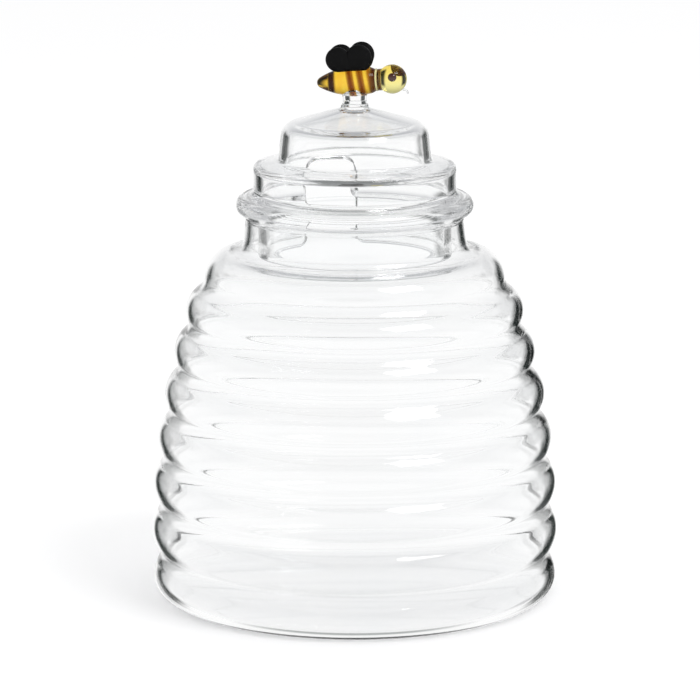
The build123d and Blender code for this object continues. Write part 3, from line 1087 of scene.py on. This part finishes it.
body = turned_bee(body_line)
girth = np.clip(body_line[:, 1:] / belly_radius, 0, 1)
ridge = 1 + band_proud * band_share(body) * girth / belly_radius
body[..., 1:] *= ridge[..., None]
make_piece("bee_body_with_bands", [(from_bee(body), True)], body_glass, "lid",
           ["bee_body", "bee_bands"])

# %% [markdown]
# ## Collar and head
#
# A pale thread of glass closes the waist like a collar, and the head is a ball on a short neck. Balls
# of glass turn the room upside down in them, so the ball is made truly round.

# %% Pale glass
pale_amber = (1.0, 0.93, 0.38)
golden = (0.93, 0.70, 0.11)
nape_brown = (0.10, 0.035, 0.004)
pale_straw = (0.98, 0.92, 0.55)
crown_span, nape_span = (-2.5, 3.0), (7.0, 8.3)


def paint_head(tree, place):
    """Pale amber, deeper towards the crown of the head and brown at the nape."""
    forward, up, _ = split_axes(tree, place)
    ball_colour = mix_colour(tree, smooth_range(tree, up, *crown_span), pale_amber, golden)
    return mix_colour(tree, smooth_range(tree, forward, *nape_span, 1, 0), ball_colour, nape_brown)


def paint_collar(tree, place):
    """Pale straw with a slow drift."""
    return mix_colour(tree, noise(tree, place, 0.8), pale_straw, pale_amber)


head_glass = coloured_glass("pale_amber_glass", paint_head, 0.01, (0.85, 0.7, 0.3), amber_index)
collar_glass = coloured_glass("pale_straw_glass", paint_collar, 0.03, (0.85, 0.75, 0.4))

# %% Collar and head
collar_width = 0.6
collar_radius = 3.15
head_radius = 4.05
head_reach = 14.5
skin_gap = 0.02
head_start = waist_place + collar_width
head_centre = head_reach - head_radius

collar_back, collar_front = waist_place + skin_gap, head_start - skin_gap
collar_line = rounded([straight((collar_back, 0), (collar_back, collar_radius), 8),
                       straight((collar_back, collar_radius), (collar_front, collar_radius), 5),
                       straight((collar_front, collar_radius), (collar_front, 0), 8)], [0.25, 0.25], 8)
make_piece("bee_collar_thread", [(from_bee(turned_bee(collar_line)), True)], collar_glass, "lid",
           ["bee_collar"])

neck_end = head_centre - math.sqrt(head_radius**2 - waist_radius**2)
ball_angle = np.linspace(math.atan2(waist_radius, neck_end - head_centre), 0, 90)[:, None]
ball = np.array([head_centre, 0]) + head_radius * np.column_stack(
    [np.cos(ball_angle), np.sin(ball_angle)])
ball[-1, 1] = 0
head_line = rounded([straight((head_start, 0), (head_start, waist_radius), 10),
                     straight((head_start, waist_radius), (neck_end, waist_radius), 6), ball],
                    [0.25, 0.3], 8)
make_piece("bee_head_ball", [(from_bee(turned_bee(head_line)), True)], head_glass, "lid",
           ["bee_head"])

# %% [markdown]
# ## Eyes and tongue
#
# An eye is a dab of dark glass that flattens on the head into a low dome. Its underside follows the
# ball, so nothing shows between them. Below them is a curl of clear thread, left where the flame let go
# of it. Dark dense glass stops light at its skin, so it is an opaque body colour under a clear coat.

# %% Dense dark glass
eye_black = (0.020, 0.004, 0.002)
eye_red = (0.085, 0.016, 0.004)


def paint_eye(tree, place):
    """Almost black, with the red of the glass where it is thin."""
    return mix_colour(tree, noise(tree, place, 2.5), eye_black, eye_red)


def opaque_glass(name, paint, roughness, coat, speckle, shine):
    """Dense glass that light doesn't pass: a dark body under a clear shine, its roughness uneven."""
    tree, material = new_tree(name)
    place = bee_coordinates(tree)
    uneven = noise(tree, place, speckle, 3.0)
    shader = add_node(tree, "ShaderNodeBsdfPrincipled", IOR=1.5, Coat_Weight=coat, Coat_Roughness=0.05,
                      Specular_IOR_Level=shine)
    tree.links.new(paint(tree, place), shader.inputs["Base Color"])
    tree.links.new(smooth_range(tree, uneven, 0.3, 0.7, *roughness), shader.inputs["Roughness"])
    bump = add_node(tree, "ShaderNodeBump", Strength=0.4, Distance=0.03 * mm)
    tree.links.new(uneven, bump.inputs["Height"])
    tree.links.new(bump.outputs[0], shader.inputs["Normal"])
    output = add_node(tree, "ShaderNodeOutputMaterial")
    tree.links.new(shader.outputs[0], output.inputs["Surface"])
    print("glass", name)
    return material


eye_glass = opaque_glass("dark_red_glass", paint_eye, roughness=(0.08, 0.2), coat=0.6, speckle=3.0,
                         shine=0.5)

# %% Eyes
eye_radius = 1.25
eye_sink = 0.6                         # the dab's own centre lies this deep in the ball
eye_forward = math.radians(8)
eye_up = math.radians(14)
eye_rows, eye_columns = 22, 64

ball_centre = np.array([head_centre, 0, 0])
eye_distance = head_radius - eye_sink
eye_spread = math.acos((head_radius**2 + eye_distance**2 - eye_radius**2)
                       / (2 * head_radius * eye_distance))
eye_height = eye_distance + eye_radius - head_radius


def eye_shell(side):
    """A low dome on the head and its underside. In the direction at an angle b from the eye's middle
    the dome stands eye_height cos(90 degrees x share) above the ball, where b = eye_spread sin(90
    degrees x share)."""
    ahead, upwards = math.sin(eye_forward), math.sin(eye_up)
    towards = np.array([ahead, upwards, side * math.sqrt(1 - ahead**2 - upwards**2)])
    first = np.cross(towards, (0, 1, 0))
    first /= np.linalg.norm(first)
    second = np.cross(towards, first)
    share = np.linspace(0, 1, eye_rows)[:, None]
    spread = (eye_spread * np.sin(share * np.pi / 2))[..., None]
    around = np.linspace(0, 2 * np.pi, eye_columns, endpoint=False)[None, :, None]
    round_eye = np.cos(around) * first + np.sin(around) * second
    ray = np.cos(spread) * towards + np.sin(spread) * round_eye
    rise = eye_height * np.cos(share * np.pi / 2)[..., None]
    dome = ball_centre + ray * (head_radius + skin_gap + rise)
    under = ball_centre + ray * (head_radius + skin_gap)
    return np.concatenate([dome, under[::-1][1:]])


sides = (("right", 1), ("left", -1))
for side_name, side in sides:
    make_piece(f"bee_eye_dab_{side_name}", [(from_bee(eye_shell(side))[::-1], True)], eye_glass, "lid",
               [f"bee_eye_{side_name}"])

# %% [markdown]
# The tongue is a tube carried along an arch: at each point of the path a circle stands square to it,
# and its radius runs from the root to a rounded end.

# %% Tongue
tongue_radius = 0.28
tongue_length = 2.0
tongue_angle = math.radians(-48)       # where it leaves the ball
tongue_droop = math.radians(-38)       # where it points
tongue_columns = 20
root_share, end_share = 1.15, 0.85     # of its radius, at the head and at the free end

leaving_at = (head_radius + skin_gap) * np.array([math.cos(tongue_angle), math.sin(tongue_angle)])
pointing = np.array([math.cos(tongue_droop), math.sin(tongue_droop)])
curl_start = np.array([head_centre, 0]) + leaving_at
curl_end = curl_start + (tongue_length - tongue_radius) * pointing
curl = arched(curl_start, curl_end, -tongue_length / 6, 24)
ahead = np.gradient(curl, axis=0)
ahead /= np.linalg.norm(ahead, axis=1)[:, None]
beside = np.column_stack([-ahead[:, 1], ahead[:, 0]])
cap_turn = np.linspace(0, np.pi / 2, 9)[1:, None]
path_points = np.vstack([curl[:1], curl, curl[-1] + ahead[-1] * tongue_radius * np.sin(cap_turn)])
path_beside = np.vstack([beside[:1], beside, np.tile(beside[-1], (8, 1))])
path_radius = np.concatenate([[0], np.linspace(root_share, end_share, len(curl)),
                              end_share * np.cos(cap_turn[:, 0])]) * tongue_radius
around = np.linspace(0, 2 * np.pi, tongue_columns, endpoint=False)[None, :, None]
flat = np.concatenate([path_points, np.zeros((len(path_points), 1))], axis=1)[:, None, :]
outwards = np.concatenate([path_beside, np.zeros((len(path_beside), 1))], axis=1)[:, None, :]
sideways = np.array([0, 0, 1.0])
tube = flat + path_radius[:, None, None] * (np.cos(around) * outwards + np.sin(around) * sideways)
thread_glass = glass("clear_thread_glass", (0.985, 0.99, 0.988), (0.97, 0.98, 0.978), swell_size=90,
                     thread_size=220, depth=0.01, shadow=clear_shadow)
make_piece("bee_tongue_curl", [(from_bee(tube), True)], thread_glass, "lid", ["bee_tongue"])

# %% [markdown]
# ## Wings
#
# Each wing is a drop of black glass pressed flat, two to a side, with a shallow crease between them.
# The outline is the hull of a round tip and a round root. The drop swells from it like a pillow, and
# where it meets the body it follows the body's surface.

# %% Black glass
wing_black = (0.003, 0.003, 0.003)
wing_grey = (0.006, 0.006, 0.0065)


def paint_wing(tree, place):
    """Black with a trace of grey where the glass was pressed."""
    return mix_colour(tree, noise(tree, place, 0.9), wing_black, wing_grey)


wing_glass = opaque_glass("black_satin_glass", paint_wing, roughness=(0.38, 0.55), coat=0.0, speckle=1.6,
                          shine=0.08)

# %% Sizes of the wings
wing_thickness = 2.4
wing_root_offset = 2.35                # sideways from the middle of the back
wing_root_height = 2.9
wing_splay = math.radians(9)           # the tips lean outwards
wing_root_radius = 1.7
wing_root_rise = 1.9
wing_parting = -0.9                    # where the two drops of one side meet
wing_overlap = 0.8
pillow_power = 2 / 2.7                 # 1 would be an ellipsoid, less is flatter with a rounder rim
wall_power = 8                         # how sharply a drop turns at the parting
least_facing, far_away = 0.05, 50      # directions that never reach the parting
wing_rows, wing_columns = 41, 96
wing_drops = {                         # radius, tip, end of the root, side of the parting
    "fore_wing": (3.6, (1.95, 3.95), 3.2, -1),
    "hind_wing": (3.5, (-3.75, 3.6), -3.9, 1),
}
print("wings", wing_thickness, "mm thick,", list(wing_drops))

# %% Outline of a wing


def hull_reach(middle, circles, angle):
    """Distance from the middle to the hull of some circles (x, y, radius) in each direction: the
    farthest crossing with any of the circles that run evenly from one to the next."""
    circles = np.array(circles, float)
    share = np.linspace(0, 1, 60)[:, None, None]
    between = ((1 - share) * circles + share * np.roll(circles, 1, axis=0)).reshape(-1, 1, 3)
    centre = between[..., :2] - np.array(middle)
    ray = np.column_stack([np.cos(angle), np.sin(angle)])[None]
    nearest = (centre * ray).sum(-1)
    left = between[..., 2] ** 2 - (centre**2).sum(-1) + nearest**2
    return np.where(left > 0, nearest + np.sqrt(np.maximum(left, 0)), 0).max(0)


print("a hull round one circle reaches", hull_reach((0, 0), [(0, 0, 2.0)], np.array([0.0])))

# %% Pressed drops


def wing_drop(side, tip_radius, wing_tip, root_end, parting_side):
    """A pressed drop: the hull's reach times sin(turn)^p outwards and half the thickness times
    cos(turn)^p across, kept off its neighbour by a soft wall and off the body by its radius."""
    across = np.array([0, -side * math.sin(wing_splay), math.cos(wing_splay)])
    upwards = np.array([0, math.cos(wing_splay), side * math.sin(wing_splay)])
    root = np.array([0, wing_root_height, side * wing_root_offset])
    angle = np.linspace(0, 2 * np.pi, wing_columns, endpoint=False)
    middle = ((wing_tip[0] + root_end) / 2, (wing_tip[1] + wing_root_rise) / 2)
    circles = [(*wing_tip, tip_radius), (root_end, wing_root_rise, wing_root_radius),
               (wing_parting, wing_root_rise, wing_root_radius)]
    reach = hull_reach(middle, circles, angle)
    wall = wing_parting + parting_side * wing_overlap - middle[0]
    facing = np.cos(angle) * np.sign(wall)
    limit = np.where(facing > least_facing, abs(wall) / np.maximum(facing, least_facing), far_away)
    reach = (reach**-wall_power + limit**-wall_power) ** (-1 / wall_power)
    turn = np.linspace(0, np.pi, wing_rows)[:, None]
    swollen = np.sin(turn) ** pillow_power * reach[None]
    out = np.sign(np.cos(turn)) * np.abs(np.cos(turn)) ** pillow_power * wing_thickness / 2
    drop = (root + np.array([1.0, 0, 0]) * (middle[0] + swollen * np.cos(angle))[..., None]
            + upwards * (middle[1] + swollen * np.sin(angle))[..., None]
            + across * out[..., None])
    from_axis = np.linalg.norm(drop[..., 1:], axis=-1)
    least = np.interp(drop[..., 0], bee_outline[:, 0], bee_outline[:, 1]) + band_proud + skin_gap
    drop[..., 1:] *= (np.maximum(from_axis, least) / from_axis)[..., None]
    return drop


for side_name, side in sides:
    for wing_name, shape in wing_drops.items():
        make_piece(f"{wing_name}_drop_{side_name}", [(from_bee(wing_drop(side, *shape)[::-1]), True)],
                   wing_glass, "lid", [f"{wing_name}_{side_name}"])
